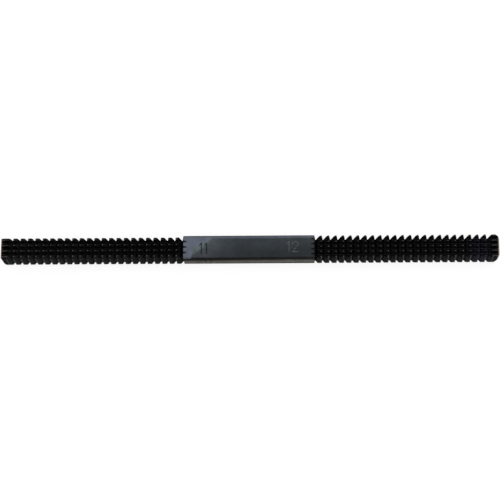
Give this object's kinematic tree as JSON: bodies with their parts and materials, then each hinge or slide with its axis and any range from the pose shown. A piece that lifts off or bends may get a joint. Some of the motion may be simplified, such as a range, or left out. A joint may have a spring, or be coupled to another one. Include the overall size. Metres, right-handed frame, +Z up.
{
  "type": "thread restoring file",
  "caption": "Square steel bar with thread-shaped cross-cut teeth on every face of both ends and a plain stamped grip in the middle, for cleaning up damaged screw threads.",
  "frame": {"origin": "middle of the bar's length and width, on its bottom face", "axes": "+X along the bar from the left toothed end to the right one, +Y to the back face, +Z up through the top face, which carries the pitches 11 and 12"},
  "size_m": [0.2032, 0.0096, 0.0095],
  "materials": {
    "tool_steel": "satin, blackened by hardening and oil"
  },
  "bodies": {
    "root": {"file_bar": "tool_steel"}
  },
  "joints": []
}
